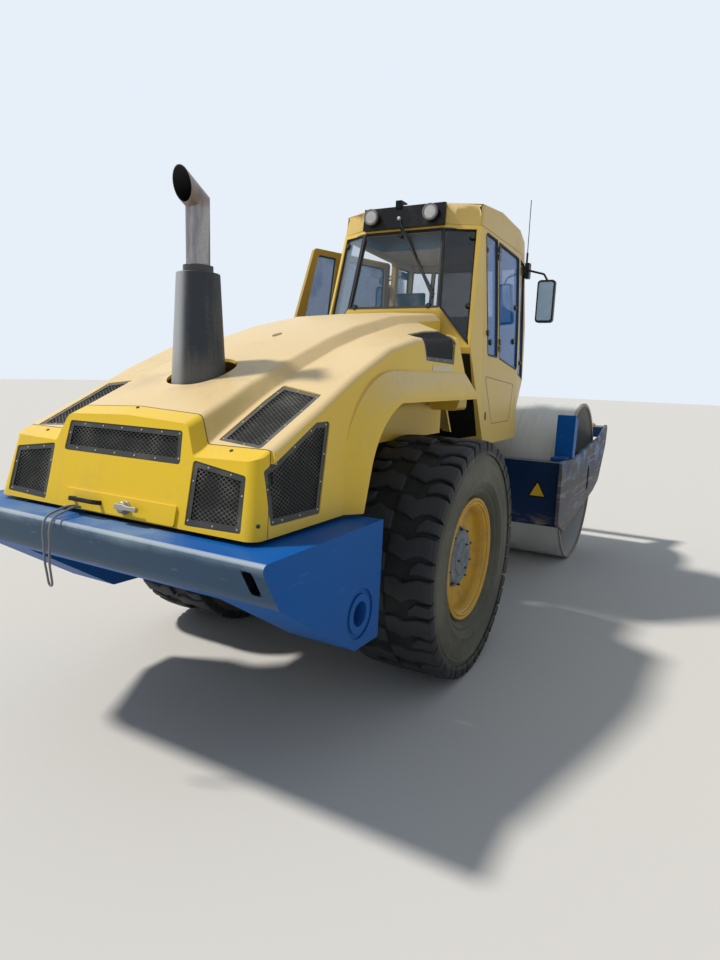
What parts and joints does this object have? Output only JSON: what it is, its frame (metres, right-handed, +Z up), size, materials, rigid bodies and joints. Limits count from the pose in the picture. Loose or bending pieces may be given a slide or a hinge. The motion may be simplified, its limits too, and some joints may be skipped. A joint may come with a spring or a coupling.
{
  "type": "road roller",
  "caption": "Articulated single-drum soil roller with an engine hood, a rear bumper, a glazed cab with an open door, treaded drive tyres and a wide smooth drum.",
  "frame": {"origin": "on the ground at the middle of the machine's length and width", "axes": "+X forward from the bumper to the drum, +Y to the operator's left, +Z up"},
  "size_m": [6.0949, 2.3, 3.3449],
  "materials": {
    "yellow_paint": "sun-bleached gloss paint with dust",
    "blue_paint": "faded and scratched paint",
    "dark_frame_paint": "dusty dark paint",
    "black_paint": "dusty black paint",
    "worn_paint": "scratched paint over rust",
    "engine_iron": "plain cast",
    "muffler_steel": "heat-dulled dark paint",
    "pipe_chrome": "bright, streaked",
    "bright_steel": "plain",
    "bare_steel": "worn smooth, dusty",
    "rod_chrome": "polished",
    "rim_paint": "dusty ochre paint",
    "tyre_rubber": "dusty rubber",
    "black_plastic": "satin",
    "rubber_mount": "plain",
    "seat_fabric": "woven",
    "cord_fabric": "braided",
    "window_glass": "clear, lightly tinted"
  },
  "bodies": {
    "rear_frame": {"chassis": "dark_frame_paint", "bumper": "blue_paint", "rear_axle": "dark_frame_paint", "engine": "engine_iron", "radiator": "black_paint", "muffler": "muffler_steel", "exhaust_pipe": "pipe_chrome", "bulkhead": "dark_frame_paint", "cab_floor": "dark_frame_paint", "cab_glass": "window_glass", "cab_roof": "yellow_paint", "roof_visor": "black_plastic", "work_lamps": "black_plastic", "seat_stand": "black_plastic", "seat_cushions": "seat_fabric", "console": "black_plastic", "steering_wheel": "black_plastic", "cab_base": "dark_frame_paint", "cab_mounts": "rubber_mount", "access_steps": "dark_frame_paint", "fuel_tank": "blue_paint", "antenna": "black_plastic", "wiper": "black_plastic", "mirrors": "black_plastic", "cab_rear_wall": "yellow_paint", "cab_front_wall": "yellow_paint", "cab_right_wall": "yellow_paint", "cab_left_wall": "yellow_paint"},
    "hood": {"hood_main": "yellow_paint", "hood_tail": "yellow_paint", "hood_grilles": "black_paint", "wheel_liners": "yellow_paint", "tail_handle": "black_plastic", "tail_latch": "bright_steel", "tail_cord": "cord_fabric"},
    "wheel_left": {"tyre_left": "tyre_rubber", "rim_left": "rim_paint"},
    "wheel_right": {"tyre_right": "tyre_rubber", "rim_right": "rim_paint"},
    "steer_block": {"steer_block": "dark_frame_paint"},
    "front_frame": {"side_plates": "worn_paint", "rear_beam": "blue_paint", "nose_beam": "blue_paint", "drum_guard": "blue_paint", "drum_scraper": "bare_steel", "drum_mounts": "dark_frame_paint"},
    "drum": {"drum_shell": "bare_steel", "drum_heads": "dark_frame_paint"},
    "door_left": {"door_frame": "yellow_paint", "door_glass": "window_glass"},
    "steer_barrel_left": {"steer_barrel_left": "dark_frame_paint"},
    "steer_barrel_right": {"steer_barrel_right": "dark_frame_paint"},
    "steer_rod_left": {"steer_rod_left": "rod_chrome"},
    "steer_rod_right": {"steer_rod_right": "rod_chrome"}
  },
  "joints": [
    {"name": "hood_lift", "type": "hinge", "parent": "rear_frame", "child": "hood", "pos_m": [-0.34755, 0, 2.18], "axis": [0, 1, 0], "range_deg": [0, 50]},
    {"name": "wheel_spin_left", "type": "hinge", "parent": "rear_frame", "child": "wheel_left", "pos_m": [-1.13955, 0.83, 0.717], "axis": [0, 1, 0], "continuous": true},
    {"name": "wheel_spin_right", "type": "hinge", "parent": "rear_frame", "child": "wheel_right", "pos_m": [-1.13955, -0.83, 0.717], "axis": [0, 1, 0], "continuous": true},
    {"name": "steer", "type": "hinge", "parent": "rear_frame", "child": "steer_block", "pos_m": [0.46045, 0, 0.76], "axis": [0, 0, 1], "range_deg": [-35, 35]},
    {"name": "frame_roll", "type": "hinge", "parent": "steer_block", "child": "front_frame", "pos_m": [0.86045, 0, 0.78], "axis": [1, 0, 0], "range_deg": [-12, 12]},
    {"name": "drum_spin", "type": "hinge", "parent": "front_frame", "child": "drum", "pos_m": [1.98045, 0, 0.784], "axis": [0, 1, 0], "continuous": true},
    {"name": "door_swing", "type": "hinge", "parent": "rear_frame", "child": "door_left", "pos_m": [0.96645, 0.676, 2.1], "axis": [0, 0, 1], "range_deg": [-63, 27]},
    {"name": "cylinder_base_left", "type": "hinge", "parent": "rear_frame", "child": "steer_barrel_left", "pos_m": [-0.37955, 0.23, 0.83], "axis": [0, 0, 1], "range_deg": [-3.4, 0]},
    {"name": "cylinder_stroke_left", "type": "slide", "parent": "steer_barrel_left", "child": "steer_rod_left", "axis": [1, 0, 0], "range_m": [-0.14, 0.14]},
    {"name": "cylinder_base_right", "type": "hinge", "parent": "rear_frame", "child": "steer_barrel_right", "pos_m": [-0.37955, -0.23, 0.83], "axis": [0, 0, 1], "range_deg": [0, 3.4]},
    {"name": "cylinder_stroke_right", "type": "slide", "parent": "steer_barrel_right", "child": "steer_rod_right", "axis": [1, 0, 0], "range_m": [-0.14, 0.14]}
  ],
  "couplings": [
    {"joint": "cylinder_stroke_left", "follows": "steer", "m_per_rad": -0.2157},
    {"joint": "cylinder_stroke_right", "follows": "steer", "m_per_rad": 0.2157}
  ]
}
